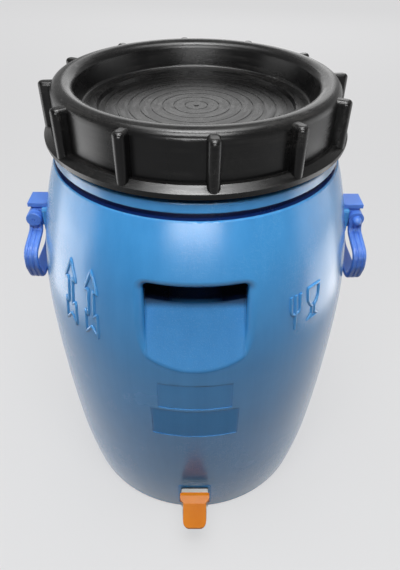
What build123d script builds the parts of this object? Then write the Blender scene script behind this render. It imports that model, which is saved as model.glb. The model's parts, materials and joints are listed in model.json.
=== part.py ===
from build123d import *
import os
from math import asin, cos, hypot, sin, sqrt

os.makedirs("parts", exist_ok=True)

# Millimetres. +Z is up, the front of the drum is -Y, and the origin is the centre of the base.

# Barrel: widest at the belly, drawn in towards the foot and the shoulder
belly_r = 200.0
belly_z = 320.0
waist_in = 8.7
waist_z = 106.5
foot_in = 22.0
foot_round = 10.0
shoulder_in = 33.1
shoulder_z = 514.5
shoulder_round = 2.0
wall = 3.2
base_wall = 4.5

# Collar and neck above the shoulder
collar_in = 1.9
groove_depth = 5.0
groove_h = 6.5
collar_h = 13.0
collar_round = 2.5
collar_width = 17.5
neck_h = 57.0
neck_wall = 4.5

# Two-start thread between neck and lid
thread_lead = 20.0
thread_starts = 2
thread_depth = 4.5
thread_clear = 2.5
thread_root_w = 4.2
thread_tip_w = 2.2
thread_sink = 1.0
thread_low = 18.0
neck_turns = 1.0
lid_turns = 0.8

# Screw lid
lid_wall = 3.5
lid_floor = 3.2
lid_roof = 4.5
gasket_h = 4.5
gasket_gap = 0.05
gasket_side_gap = 0.6
rim_width = 23.5
rim_crown = 5.0
rim_fillet = 9.0
channel_chamfer = 2.5
pan_depth = 30.0
pan_draft = 6.0
ledge_width = 17.0
disc_drop = 4.5
step_run = 1.5
ring_pitch = 12.85
ring_count = 8
ring_w = 0.9
ring_depth = 0.7
gate_r = 2.6
gate_h = 0.6
flange_width = 13.5
flange_slope_run = 8.5
flange_fall = 5.0
flange_t = 3.5
flange_above_collar = 17.0
lip_upper = 3.0
lip_lower = 3.0
lip_step = 1.0
lip_t = 3.0

# Grip ribs of the lid
rib_count = 12
rib_start = -84.4
rib_r = 6.4
rib_in = 0.3
rib_sink = 3.0
rib_top_drop = 3.5
rib_round = 4.0

# Hand-hold recess in the front
grip_top = 445.0
grip_half = 54.5
grip_corner = 8.0
grip_h = 105.0
grip_ramp_slope = 0.508
grip_slot_h = 36.0
grip_floor_rise = 6.5
grip_depth = 55.0
grip_floor_round = 3.0
grip_round = 8.0

# Bare label panels, sunk in the front below the hand-hold
panel_depth = 0.8
panel_gap = 4.0
panel_top = 316.0
panel_half = 44.0
panel_h = 44.0
lower_panel_half = 53.5
lower_panel_h = 52.0

# Side lugs, brackets, pins and loop handles
lug_half = 20.0
lug_out = 4.0
lug_below = 20.0
lug_plate_gap = 0.3
lug_round = 4.0
pin_z = 428.0
pin_out = 10.6
pin_r = 5.5
pin_head_r = 9.5
pin_head_t = 4.3
pin_tail = 8.5
pin_dimple_r = 1.8
pin_head_edge = 1.2
pin_fit = 0.05
pin_run = 0.08
bracket_half = 14.5
bracket_plate_t = 5.5
bracket_plate_rise = 18.0
bracket_plate_over = 7.5
bracket_back_t = 4.0
bracket_back_drop = 14.0
bracket_neck_in = 3.0
bracket_edge = 1.0
tenon_depth = 4.5
tenon_half = 6.0
tenon_flare = 2.0
tenon_below = 8.0
tenon_above = 10.0
tenon_fit = 0.1
eye_r = 9.5
eye_gap = 0.4
strap_w = 17.0
strap_t = 6.4
strap_round = 2.2
strap_groove_r = 1.4
strap_groove_at = 2.9
loop_half = 57.5
loop_arm_drop = 18.2
loop_arm_fall = 10.5
loop_side_drop = 48.0
loop_drop = 77.5
loop_foot_half = 42.0
loop_elbow_r = 8.0
loop_corner_r = 12.0
loop_foot_r = 22.0
handle_rest_gap = 1.2

# Tap: flange, chamber, spout and the shank through the drum's wall
tap_z = 60.0
flange_side = 38.5
tap_flange_t = 7.0
flange_corner = 3.0
pad_margin = 4.5
pad_round = 6.0
tap_gasket_t = 2.0
shank_r = 13.0
shank_hole_gap = 0.5
shank_seal_gap = 0.3
shank_spare = 5.0
inlet_r = 7.0
nut_across = 32.0
nut_t = 9.0
nut_gap = 0.15
nut_edge = 1.2
washer_r = 18.5
chamber_reach = 17.0
chamber_r = 11.0
chamber_front = 16.5
chamber_half = 17.2
chamber_corner = 13.0
chamber_below = 15.0
chamber_above = 11.0
chamber_edge = 2.0
seat_below = 10.0
seat_hole_r = 5.5
seat_lip_h = 1.0
seat_lip_t = 1.5
spout_r = 9.5
spout_bore_r = 7.5
spout_low = 28.0
spout_edge = 1.0

# Tap: bonnet, stem, seals, spring, lever
bonnet_fit = 0.1
bonnet_flange_r = 13.0
bonnet_flange_t = 2.0
bonnet_plug_h = 5.0
stem_r = 3.0
stem_run = 0.06
plunger_r = 8.8
plunger_h = 3.4
seal_h = 2.0
seal_in = 0.5
nub_r = 1.9
nub_fit = 0.05
seat_gap = 0.1
ring_section_r = 0.9
ring_run = 0.05
ring_groove_gap = 0.1
cross_pin_r = 1.5
cross_pin_half = 7.8
cross_pin_z = 17.5
cross_pin_fit = 0.05
stem_above_pin = 2.5
spring_wire_r = 0.6
spring_mean_r = 5.2
spring_turns = 3.0
spring_end_gap = 0.1
pivot_ahead = 6.3
pivot_above = 19.0
pivot_r = 2.0
pivot_fit = 0.05
pivot_run = 0.08
lug_ring_r = 5.5
tap_lug_in = 12.5
ear_gap = 0.4
ear_t = 3.0
ear_r = 6.0
lever_over_lug = 0.7
lever_t = 3.0
lever_back = 2.5
lever_rear_r = 3.0
lever_flat = 2.0
lever_reach = 39.0
lever_tip_drop = 9.4
lever_dip_at = 12.0
lever_dip_z = 5.6
lever_half = 16.0
lever_shoulder_at = 6.0
lever_waist_at = 11.0
lever_tip_r = 8.5
lever_bend_r = 4.0
cheek_in = 4.0
cheek_t = 3.0
cheek_half = 4.6
cheek_low = 5.0
slot_gap = 0.25
slot_slide = 0.6


# The barrel's outer radius at a height: three arcs, upright at the belly and tangent at the waist
def arc_size(rise, drop):
    return (rise**2 + drop**2) / (2 * drop)


upper_arc = arc_size(shoulder_z - belly_z, shoulder_in)
middle_arc = arc_size(belly_z - waist_z, waist_in)
waist_r = belly_r - waist_in
foot_r = belly_r - foot_in
shoulder_r = belly_r - shoulder_in
waist_normal = ((waist_in - middle_arc) / middle_arc, (belly_z - waist_z) / middle_arc)
foot_step = (foot_r - waist_r, foot_round - waist_z)
lower_arc = (foot_step[0] ** 2 + foot_step[1] ** 2) / (
    2 * (foot_step[0] * waist_normal[0] + foot_step[1] * waist_normal[1])
)
lower_centre = (waist_r + lower_arc * waist_normal[0], waist_z + lower_arc * waist_normal[1])


def barrel_r(z):
    if z >= belly_z:
        return belly_r - upper_arc + sqrt(upper_arc**2 - (z - belly_z) ** 2)
    if z >= waist_z:
        return belly_r - middle_arc + sqrt(middle_arc**2 - (z - belly_z) ** 2)
    return lower_centre[0] + sqrt(lower_arc**2 - (z - lower_centre[1]) ** 2)


def barrel_arcs(low, high, inset):
    heights = [low, waist_z, belly_z, high]
    for a, b in zip(heights, heights[1:]):
        ThreePointArc(*[(barrel_r(z) - inset, z) for z in (a, (a + b) / 2, b)])


def save(piece, name):
    piece.part.label = name
    export_step(piece.part, f"parts/{name}.step")


# Heights and radii that several pieces share
collar_r = shoulder_r - collar_in
groove_r = collar_r - groove_depth
collar_low = shoulder_z + groove_h
collar_top = collar_low + collar_h
neck_r = collar_r - collar_width
neck_in_r = neck_r - neck_wall
neck_top = collar_top + neck_h
lid_in_r = neck_r + thread_depth + thread_clear
lid_out_r = lid_in_r + lid_wall
lug_x = barrel_r(pin_z) + lug_out
pin_x = lug_x + pin_out
plate_top = pin_z + bracket_plate_rise
plate_low = plate_top - bracket_plate_t
plate_in_x = barrel_r(plate_low) + lug_plate_gap
pad_half = flange_side / 2 + pad_margin
pad_y = -barrel_r(tap_z + flange_side / 2)
pad_in_y = pad_y + wall
flange_back_y = pad_y - tap_gasket_t
flange_front_y = flange_back_y - tap_flange_t
valve_y = flange_front_y - chamber_reach
pivot_y = flange_front_y - pivot_ahead
pivot_z = tap_z + pivot_above
chamber_top = tap_z + chamber_above
seat_z = tap_z - seat_below
grip_ramp_low = grip_top - grip_h
grip_floor = grip_top - grip_slot_h
panel_low = panel_top - panel_h
lower_panel_top = panel_low - panel_gap


# Helical ridges on a cylinder, standing out from root_r to tip_r, with their roots sunk in the wall
def thread_ridge(root_r, tip_r, low_z, turns):
    sink = thread_sink if tip_r < root_r else -thread_sink
    with BuildPart() as ridge:
        with BuildLine() as line:
            path = Helix(thread_lead, thread_lead * turns, root_r, center=(0, 0, low_z))
        with BuildSketch(Plane(path @ 0, x_dir=(1, 0, 0), z_dir=path % 0)):
            with BuildLine():
                Polyline(
                    (sink, -thread_root_w / 2),
                    (tip_r - root_r, -thread_tip_w / 2),
                    (tip_r - root_r, thread_tip_w / 2),
                    (sink, thread_root_w / 2),
                    close=True,
                )
            make_face()
        sweep(path=line.wires()[0], is_frenet=True)
    return [ridge.part.rotate(Axis.Z, 360 * k / thread_starts) for k in range(thread_starts)]


# Hand-hold recess: a flat ramp up to a deep slot; larger all round by grow for the skin behind it
def grip_recess(grow):
    back_r = barrel_r(grip_top) - grip_depth - grow
    ramp_r = barrel_r(grip_ramp_low) - grow * hypot(1, grip_ramp_slope)
    reach = belly_r - back_r + 2 * wall
    low = grip_ramp_low - reach
    ramp_high = grip_top - grip_corner
    high = grip_top + grow
    side = grip_half + grow
    floor_ends = grip_floor + grip_floor_rise - grow
    with BuildPart() as recess:
        with BuildSketch(Plane.XZ.offset(back_r)):
            with Locations((0, (low + ramp_high) / 2)):
                Rectangle(2 * side, ramp_high - low)
        extrude(amount=reach)
        with BuildSketch(Plane.YZ):
            with BuildLine():
                Polyline(
                    (-back_r, low),
                    (-ramp_r + grip_ramp_slope * (low - grip_ramp_low), low),
                    (-ramp_r + grip_ramp_slope * (ramp_high - grip_ramp_low), ramp_high),
                    (-back_r, ramp_high),
                    close=True,
                )
            make_face()
        extrude(amount=side, both=True, mode=Mode.SUBTRACT)
        ramp_sides = [e for e in recess.edges() if (e % 0.5).Y * (e % 0.5).Z > 0.1]
        fillet(ramp_sides, grip_floor_round + grow)
        with BuildSketch(Plane.XZ.offset(back_r)) as slot:
            with BuildLine():
                floor_mid = (0, grip_floor - grow)
                floor_arc = ThreePointArc((-side, floor_ends), floor_mid, (side, floor_ends))
                Polyline(floor_arc @ 1, (side, high), (-side, high), floor_arc @ 0)
            make_face()
            fillet(slot.vertices().group_by(Axis.Y)[-1], grip_corner + grow)
        extrude(amount=reach)
    return recess.part


# Edges where the recess meets the barrel's skin at its sides and top, on the outside or inset in the wall
def grip_lip(solid, inset):
    lip = []
    for edge in solid.edges():
        middle = edge @ 0.5
        on_barrel = abs(hypot(middle.X, middle.Y) - barrel_r(middle.Z) + inset) < 0.1
        beside_grip = (grip_floor + grip_ramp_low) / 2 < middle.Z < grip_top + inset + 0.1
        if on_barrel and beside_grip and middle.Y < -grip_half:
            lip.append(edge)
    return lip


# A panel sunk in the barrel's skin between two heights
def panel_cut(low, high, half):
    with BuildPart() as cut:
        with BuildSketch(Plane.XZ):
            with BuildLine():
                skin = [(barrel_r(z) - panel_depth, z) for z in (low, (low + high) / 2, high)]
                ThreePointArc(*skin)
                Polyline(skin[2], (belly_r + wall, high), (belly_r + wall, low), skin[0])
            make_face()
        revolve(axis=Axis.Z)
        with BuildSketch(Plane.XZ):
            with Locations((0, (low + high) / 2)):
                Rectangle(2 * half, high - low)
        extrude(amount=belly_r + wall, mode=Mode.INTERSECT)
    return cut.part


# Dovetail tenon of a handle bracket, larger all round by grow for its pocket in the lug
def tenon(grow):
    with BuildPart() as wedge:
        with BuildSketch(Plane.XY.offset(pin_z - tenon_below - grow)):
            with BuildLine():
                Polyline(
                    (lug_x + bracket_back_t * grow, tenon_half + grow),
                    (lug_x - tenon_depth - grow, tenon_half + tenon_flare + grow),
                    (lug_x - tenon_depth - grow, -tenon_half - tenon_flare - grow),
                    (lug_x + bracket_back_t * grow, -tenon_half - grow),
                    close=True,
                )
            make_face()
        extrude(amount=tenon_below + tenon_above + 2 * grow)
    return wedge.part


# Inside of the drum
with BuildPart() as cavity:
    inner_shoulder = shoulder_z - groove_h - groove_depth
    with BuildSketch(Plane.XZ):
        with BuildLine():
            barrel_arcs(foot_round + base_wall, inner_shoulder, wall)
            Polyline(
                (barrel_r(inner_shoulder) - wall, inner_shoulder),
                (neck_in_r, collar_low + groove_depth),
                (neck_in_r, neck_top + wall),
                (0, neck_top + wall),
                (0, base_wall),
                (foot_r - foot_round - wall, base_wall),
                (barrel_r(foot_round + base_wall) - wall, foot_round + base_wall),
            )
        make_face()
    revolve(axis=Axis.Z)
    with BuildSketch(Plane.XZ.offset(-pad_in_y)):
        with Locations((0, tap_z)):
            RectangleRounded(2 * (pad_half - wall), 2 * (pad_half - wall), pad_round - wall)
    extrude(amount=-pad_half)
    add(grip_recess(wall), mode=Mode.SUBTRACT)
    fillet(grip_lip(cavity, wall), grip_round - wall)

# Drum body: blow-moulded barrel with lugs, tap pad, hand-hold, collar and threaded neck
with BuildPart() as drum_body:
    with BuildSketch(Plane.XZ) as outline:
        with BuildLine():
            Polyline(
                (0, neck_top),
                (0, 0),
                (foot_r - foot_round, 0),
            )
            TangentArc((foot_r - foot_round, 0), (foot_r, foot_round), tangent=(1, 0))
            barrel_arcs(foot_round, shoulder_z, 0)
            Polyline(
                (shoulder_r, shoulder_z),
                (groove_r, shoulder_z),
                (groove_r, collar_low),
                (collar_r, collar_low),
                (collar_r, collar_top),
                (neck_r, collar_top),
                (neck_r, neck_top),
                (0, neck_top),
            )
        make_face()
        fillet([v for v in outline.vertices() if abs(v.X - collar_r) < 0.01], collar_round)
        fillet([v for v in outline.vertices() if abs(v.X - shoulder_r) < 0.01], shoulder_round)
    revolve(axis=Axis.Z)
    with BuildSketch(Plane.XZ.offset(-pad_y)):
        with Locations((0, tap_z)):
            RectangleRounded(2 * pad_half, 2 * pad_half, pad_round)
    extrude(amount=-pad_half)
    lug_h = plate_low - lug_plate_gap - pin_z + lug_below
    for side in (1, -1):
        with BuildSketch(Plane.YZ.offset(side * lug_x)):
            with Locations((0, pin_z - lug_below + lug_h / 2)):
                RectangleRounded(2 * lug_half, lug_h, lug_round)
        extrude(amount=-side * lug_half)
    for turn in (0, 180):
        add(tenon(tenon_fit), rotation=(0, 0, turn), mode=Mode.SUBTRACT)
    add(grip_recess(0), mode=Mode.SUBTRACT)
    add(panel_cut(panel_low, panel_top, panel_half), mode=Mode.SUBTRACT)
    add(panel_cut(lower_panel_top - lower_panel_h, lower_panel_top, lower_panel_half), mode=Mode.SUBTRACT)
    fillet(grip_lip(drum_body, 0), grip_round)
    add(cavity.part, mode=Mode.SUBTRACT)
    with BuildSketch(Plane.XZ.offset(-pad_y)):
        with Locations((0, tap_z)):
            Circle(shank_r + shank_hole_gap)
    extrude(amount=-pad_half, mode=Mode.SUBTRACT)
    neck_thread_z = collar_top + thread_low
    for ridge in thread_ridge(neck_r, neck_r + thread_depth, neck_thread_z, neck_turns):
        add(ridge)
save(drum_body, "drum_body")


# Screw lid: sunk disc, crowned rim, ribbed wall with a flange, and the thread inside
crown_z = neck_top + gasket_gap + gasket_h + lid_roof - rim_crown
rim_r = lid_out_r - rim_width
ledge_r = rim_r - pan_draft
ledge_z = crown_z + rim_crown - pan_depth
disc_r = ledge_r - ledge_width
disc_z = ledge_z - disc_drop
channel_z = neck_top + gasket_gap + gasket_h
flange_z = collar_top + flange_above_collar
flange_r = lid_out_r + flange_width
flange_edge_z = flange_z - flange_fall
lip_r = flange_r - lip_step
lip_low_z = flange_edge_z - lip_upper - lip_lower
# One grip rib: half-round outside, rounded over at the top
rib_centre_r = flange_r - rib_in - rib_r
rib_root_r = lid_out_r - rib_sink
with BuildPart() as grip_rib:
    with BuildSketch(Plane.XY.offset(flange_edge_z)):
        with Locations((rib_centre_r, 0)):
            Circle(rib_r)
        with Locations(((rib_root_r + rib_centre_r) / 2, 0)):
            Rectangle(rib_centre_r - rib_root_r, 2 * rib_r)
    extrude(amount=crown_z + rim_crown - rib_top_drop - flange_edge_z)
    top_edges = grip_rib.edges().group_by(Axis.Z)[-1]
    fillet([e for e in top_edges if e.center().X > rib_root_r + 0.01], rib_round)

with BuildPart() as screw_lid:
    with BuildSketch(Plane.XZ) as section:
        with BuildLine():
            Polyline(
                (0, disc_z - lid_floor),
                (0, disc_z),
                (disc_r - step_run, disc_z),
                (disc_r, ledge_z),
                (ledge_r, ledge_z),
                (rim_r, crown_z),
            )
            crest = ((rim_r + lid_out_r) / 2, crown_z + rim_crown)
            ThreePointArc((rim_r, crown_z), crest, (lid_out_r, crown_z))
            Polyline(
                (lid_out_r, crown_z),
                (lid_out_r, flange_z),
                (flange_r - flange_slope_run, flange_z),
                (flange_r, flange_edge_z),
                (flange_r, flange_edge_z - lip_upper),
                (lip_r, flange_edge_z - lip_upper),
                (lip_r, lip_low_z),
                (lip_r - lip_t, lip_low_z),
                (lip_r - lip_t, flange_edge_z - flange_t),
                (lid_in_r, flange_edge_z - flange_t),
                (lid_in_r, channel_z - channel_chamfer),
                (lid_in_r - channel_chamfer, channel_z),
                (rim_r + lid_wall, channel_z),
                (ledge_r + lid_wall, ledge_z - lid_floor),
                (disc_r, ledge_z - lid_floor),
                (disc_r - step_run, disc_z - lid_floor),
                (0, disc_z - lid_floor),
            )
        make_face()
        fillet([v for v in section.vertices() if abs(v.Y - crown_z) < 0.01], rim_fillet)
        fillet([v for v in section.vertices() if abs(v.X - ledge_r) < 0.01], lid_wall)
    revolve(axis=Axis.Z)
    with PolarLocations(0, rib_count, start_angle=rib_start):
        add(grip_rib.part)
    with BuildSketch(Plane.XZ):
        with BuildLine():
            Polyline(
                (lid_in_r, flange_edge_z - flange_t),
                (lid_in_r, channel_z - channel_chamfer),
                (neck_r, channel_z - channel_chamfer),
                (neck_r, flange_edge_z - flange_t),
                close=True,
            )
        make_face()
    revolve(axis=Axis.Z, mode=Mode.SUBTRACT)
    with BuildSketch(Plane.XZ):
        for k in range(ring_count):
            with Locations(((k + 1) * ring_pitch, disc_z)):
                Rectangle(ring_w, 2 * ring_depth)
    revolve(axis=Axis.Z, mode=Mode.SUBTRACT)
    with Locations((0, 0, disc_z)):
        Cylinder(gate_r, 2 * gate_h)
    lid_thread_z = neck_thread_z - thread_lead / thread_starts / 2
    for ridge in thread_ridge(lid_in_r, neck_r + thread_clear, lid_thread_z, lid_turns):
        add(ridge)
save(screw_lid, "screw_lid")

# Lid gasket: flat ring in the lid's channel, on top of the neck
with BuildPart() as lid_gasket:
    with BuildSketch(Plane.XY.offset(neck_top + gasket_gap)) as ring:
        Circle(lid_in_r - channel_chamfer - gasket_side_gap)
        Circle(rim_r + lid_wall + gasket_side_gap, mode=Mode.SUBTRACT)
    extrude(amount=gasket_h)
save(lid_gasket, "lid_gasket")


# The right side's piece and its copy, turned half round the drum's axis, for the left side
def save_both_sides(piece, name):
    save(piece, f"right_{name}")
    with BuildPart() as left:
        add(piece.part, rotation=(0, 0, 180))
    save(left, f"left_{name}")


# Handle bracket: knuckle, neck and top plate, held in the lug by its tenon
with BuildPart() as handle_bracket:
    with BuildSketch(Plane.XZ):
        with BuildLine():
            Polyline(
                (lug_x, pin_z - bracket_back_drop),
                (lug_x + bracket_back_t, pin_z - bracket_back_drop),
                (pin_x, pin_z - eye_r),
                (pin_x, pin_z + eye_r),
                (lug_x, pin_z + eye_r),
                close=True,
            )
        make_face()
        with Locations((pin_x, pin_z)):
            Circle(eye_r)
    extrude(amount=bracket_half, both=True)
    plate_x = pin_x + bracket_plate_over
    neck_x = plate_x - bracket_neck_in
    with BuildSketch(Plane.XZ):
        with BuildLine():
            Polyline((lug_x, pin_z), (neck_x, pin_z), (neck_x, plate_top), (lug_x, plate_top), close=True)
        make_face()
    extrude(amount=bracket_half - bracket_neck_in, both=True)
    with BuildSketch(Plane.XZ):
        with BuildLine():
            Polyline(
                (plate_in_x, plate_low),
                (plate_x, plate_low),
                (plate_x, plate_top),
                (plate_in_x, plate_top),
                close=True,
            )
        make_face()
    extrude(amount=bracket_half, both=True)
    top_edges = faces().sort_by(Axis.Z)[-1].edges()
    fillet([e for e in top_edges if e.center().X > lug_x + bracket_edge], bracket_edge)
    add(tenon(0))
    with BuildSketch(Plane.XZ):
        with Locations((pin_x, pin_z)):
            Circle(pin_r + pin_fit)
    extrude(amount=2 * bracket_half, both=True, mode=Mode.SUBTRACT)
save_both_sides(handle_bracket, "handle_bracket")

# Loop handle: a ridged strap between two eyes on the pin, leaning on the belly of the drum
foot_wall_r = barrel_r(pin_z - loop_drop - strap_t / 2)
handle_lean = asin((foot_wall_r + handle_rest_gap + strap_w / 2 - pin_x) / loop_drop)
loop_plane = Plane((pin_x, 0, pin_z), x_dir=(0, 1, 0), z_dir=(cos(handle_lean), 0, sin(handle_lean)))
eye_y = bracket_half + eye_gap + strap_t / 2
arm_low = loop_arm_drop + loop_arm_fall
half_loop = [
    (-eye_y, 0),
    (-eye_y, -loop_arm_drop),
    (-loop_half, -arm_low),
    (-loop_half, -loop_side_drop),
    (-loop_foot_half, -loop_drop),
]
half_radii = [loop_elbow_r, loop_corner_r, loop_foot_r, loop_foot_r]
with BuildPart() as handle:
    with BuildLine(loop_plane) as loop:
        mirrored = [(-x, y) for x, y in reversed(half_loop)]
        FilletPolyline(*half_loop, *mirrored, radius=half_radii + half_radii[::-1])
    strap_path = loop.wires()[0]
    with BuildSketch(Plane(strap_path @ 0, x_dir=loop_plane.z_dir, z_dir=strap_path % 0)):
        RectangleRounded(strap_w, strap_t, strap_round)
        with Locations((-strap_groove_at, strap_t / 2), (strap_groove_at, strap_t / 2)):
            Circle(strap_groove_r, mode=Mode.SUBTRACT)
    sweep(path=strap_path)
    for side in (1, -1):
        with BuildSketch(Plane.XZ.offset(-side * (bracket_half + eye_gap))):
            with Locations((pin_x, pin_z)):
                Circle(eye_r)
        extrude(amount=-side * strap_t)
    with BuildSketch(Plane.XZ):
        with Locations((pin_x, pin_z)):
            Circle(pin_r + pin_run)
    extrude(amount=loop_half, both=True, mode=Mode.SUBTRACT)
save_both_sides(handle, "handle")

# Handle pin: round head on one side, domed tail on the other
head_y = bracket_half + 2 * eye_gap + strap_t
tail_y = -head_y - pin_tail
with BuildPart() as handle_pin:
    with BuildSketch(Plane((pin_x, 0, pin_z), x_dir=(0, 1, 0), z_dir=(1, 0, 0))) as half_section:
        with BuildLine():
            dome = CenterArc((tail_y + pin_r, 0), pin_r, 180, -90)
            Polyline(
                dome @ 1,
                (head_y, pin_r),
                (head_y, pin_head_r),
                (head_y + pin_head_t, pin_head_r),
                (head_y + pin_head_t, 0),
                dome @ 0,
            )
        make_face()
        fillet([v for v in half_section.vertices() if v.Y > pin_r + pin_head_edge], pin_head_edge)
    revolve(axis=Axis((pin_x, 0, pin_z), (0, 1, 0)))
    with Locations((pin_x, head_y + pin_head_t, pin_z)):
        Sphere(pin_dimple_r, mode=Mode.SUBTRACT)
save_both_sides(handle_pin, "handle_pin")

# Tap seals and backnut on the shank
seal_bore_r = shank_r + shank_seal_gap
with BuildPart() as tap_flange_gasket:
    with BuildSketch(Plane.XZ.offset(-pad_y)):
        with Locations((0, tap_z)):
            RectangleRounded(flange_side, flange_side, flange_corner)
            Circle(seal_bore_r, mode=Mode.SUBTRACT)
    extrude(amount=tap_gasket_t)
save(tap_flange_gasket, "tap_flange_gasket")

with BuildPart() as tap_inner_washer:
    with BuildSketch(Plane.XZ.offset(-pad_in_y)):
        with Locations((0, tap_z)):
            Circle(washer_r)
            Circle(seal_bore_r, mode=Mode.SUBTRACT)
    extrude(amount=-tap_gasket_t)
save(tap_inner_washer, "tap_inner_washer")

with BuildPart() as tap_backnut:
    with BuildSketch(Plane.XZ.offset(-pad_in_y - tap_gasket_t)):
        with Locations((0, tap_z)):
            RegularPolygon(nut_across / 2, 6, major_radius=False)
    extrude(amount=-nut_t)
    chamfer(faces().sort_by(Axis.Y)[-1].edges(), nut_edge)
    with BuildSketch(Plane.XZ.offset(-pad_in_y - tap_gasket_t)):
        with Locations((0, tap_z)):
            Circle(shank_r + nut_gap)
    extrude(amount=-nut_t, mode=Mode.SUBTRACT)
save(tap_backnut, "tap_backnut")

# Tap body: shank, square flange, valve chamber, spout and two lugs for the lever
shank_len = wall + 2 * tap_gasket_t + nut_t + shank_spare
block_low = tap_z - chamber_below
block_front_y = valve_y - chamber_front
with BuildPart() as tap_body:
    with BuildSketch(Plane.XY.offset(block_low)) as block:
        with Locations((0, (flange_front_y + block_front_y) / 2)):
            Rectangle(2 * chamber_half, flange_front_y - block_front_y)
        fillet(block.vertices().group_by(Axis.Y)[0], chamber_corner)
    extrude(amount=chamber_below + chamber_above)
    rim = faces().sort_by(Axis.Z)[-1].edges()
    fillet([e for e in rim if e.center().Y < flange_front_y - chamber_edge], chamber_edge)
    with BuildSketch(Plane.XZ.offset(-flange_back_y)):
        with Locations((0, tap_z)):
            RectangleRounded(flange_side, flange_side, flange_corner)
    extrude(amount=tap_flange_t)
    with BuildSketch(Plane.XZ.offset(-flange_back_y)):
        with Locations((0, tap_z)):
            Circle(shank_r)
    extrude(amount=-shank_len)
    with BuildSketch(Plane.XY.offset(spout_low)):
        with Locations((0, valve_y)):
            Circle(spout_r)
    extrude(amount=block_low - spout_low)
    fillet(faces().sort_by(Axis.Z)[0].edges(), spout_edge)
    for side in (1, -1):
        with BuildSketch(Plane.YZ.offset(side * tap_lug_in)):
            with BuildLine():
                Polyline(
                    (flange_front_y, block_low),
                    (flange_front_y, pivot_z),
                    (pivot_y - lug_ring_r, pivot_z),
                    (pivot_y - lug_ring_r, block_low),
                    close=True,
                )
            make_face()
            with Locations((pivot_y, pivot_z)):
                Circle(lug_ring_r)
        extrude(amount=side * (chamber_half - tap_lug_in))
    with BuildSketch(Plane.XY.offset(seat_z)):
        with Locations((0, valve_y)):
            Circle(chamber_r)
    extrude(amount=chamber_above + seat_below, mode=Mode.SUBTRACT)
    with BuildSketch(Plane.XY.offset(seat_z)):
        with Locations((0, valve_y)):
            Circle(seat_hole_r + seat_lip_t)
    extrude(amount=seat_lip_h)
    with BuildSketch(Plane.XY.offset(block_low)):
        with Locations((0, valve_y)):
            Circle(seat_hole_r)
    extrude(amount=seat_z + seat_lip_h - block_low, mode=Mode.SUBTRACT)
    with BuildSketch(Plane.XY.offset(spout_low)):
        with Locations((0, valve_y)):
            Circle(spout_bore_r)
    extrude(amount=block_low - spout_low, mode=Mode.SUBTRACT)
    with BuildSketch(Plane.XZ.offset(-valve_y)):
        with Locations((0, tap_z)):
            Circle(inlet_r)
    extrude(amount=-(flange_back_y + shank_len - valve_y), mode=Mode.SUBTRACT)
    with BuildSketch(Plane.YZ):
        with Locations((pivot_y, pivot_z)):
            Circle(pivot_r + pivot_fit)
    extrude(amount=flange_side, both=True, mode=Mode.SUBTRACT)
save(tap_body, "tap_body")

# Bonnet: plug in the chamber's mouth that guides the stem
bonnet_low = chamber_top - bonnet_plug_h
ring_z = chamber_top - bonnet_plug_h / 2
ring_mean_r = stem_r + ring_run + ring_section_r
with BuildPart() as tap_bonnet:
    with BuildSketch(Plane.XY.offset(bonnet_low)):
        with Locations((0, valve_y)):
            Circle(chamber_r - bonnet_fit)
    extrude(amount=bonnet_plug_h)
    with BuildSketch(Plane.XY.offset(chamber_top)):
        with Locations((0, valve_y)):
            Circle(bonnet_flange_r)
    extrude(amount=bonnet_flange_t)
    with BuildSketch(Plane.XY.offset(bonnet_low)):
        with Locations((0, valve_y)):
            Circle(stem_r + stem_run)
    extrude(amount=bonnet_plug_h + bonnet_flange_t, mode=Mode.SUBTRACT)
    with Locations((0, valve_y, ring_z)):
        ring_room = ring_section_r + ring_groove_gap
        Cylinder(ring_mean_r + ring_room, 2 * ring_room, mode=Mode.SUBTRACT)
save(tap_bonnet, "tap_bonnet")

with BuildPart() as stem_o_ring:
    with Locations((0, valve_y, ring_z)):
        Torus(ring_mean_r, ring_section_r)
save(stem_o_ring, "stem_o_ring")

# Seat seal, and the stem with its plunger and the nub that carries the seal
seal_z = seat_z + seat_lip_h + seat_gap
plunger_z = seal_z + seal_h
plunger_top = plunger_z + plunger_h
stem_top = tap_z + cross_pin_z + stem_above_pin
with BuildPart() as tap_seat_seal:
    with BuildSketch(Plane.XY.offset(seal_z)):
        with Locations((0, valve_y)):
            Circle(plunger_r - seal_in)
            Circle(nub_r + nub_fit, mode=Mode.SUBTRACT)
    extrude(amount=seal_h)
save(tap_seat_seal, "tap_seat_seal")

with BuildPart() as tap_stem:
    for low, high, radius in (
        (seal_z, plunger_z, nub_r),
        (plunger_z, plunger_top, plunger_r),
        (plunger_top, stem_top, stem_r),
    ):
        with BuildSketch(Plane.XY.offset(low)):
            with Locations((0, valve_y)):
                Circle(radius)
        extrude(amount=high - low)
    with BuildSketch(Plane.YZ):
        with Locations((valve_y, tap_z + cross_pin_z)):
            Circle(cross_pin_r + cross_pin_fit)
    extrude(amount=plunger_r, both=True, mode=Mode.SUBTRACT)
save(tap_stem, "tap_stem")

with BuildPart() as stem_cross_pin:
    with BuildSketch(Plane.YZ):
        with Locations((valve_y, tap_z + cross_pin_z)):
            Circle(cross_pin_r)
    extrude(amount=cross_pin_half, both=True)
save(stem_cross_pin, "stem_cross_pin")

# Return spring: one unbroken wire between plunger and bonnet
spring_low = plunger_top + spring_end_gap + spring_wire_r
spring_h = bonnet_low - spring_end_gap - spring_wire_r - spring_low
with BuildPart() as return_spring:
    with BuildLine() as coil:
        Helix(spring_h / spring_turns, spring_h, spring_mean_r, center=(0, valve_y, spring_low))
    coil_path = coil.wires()[0]
    with BuildSketch(Plane(coil_path @ 0, z_dir=coil_path % 0)):
        Circle(spring_wire_r)
    sweep(path=coil_path, is_frenet=True)
save(return_spring, "return_spring")
print("spring gap between turns", round(spring_h / spring_turns - 2 * spring_wire_r, 2))

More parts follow.
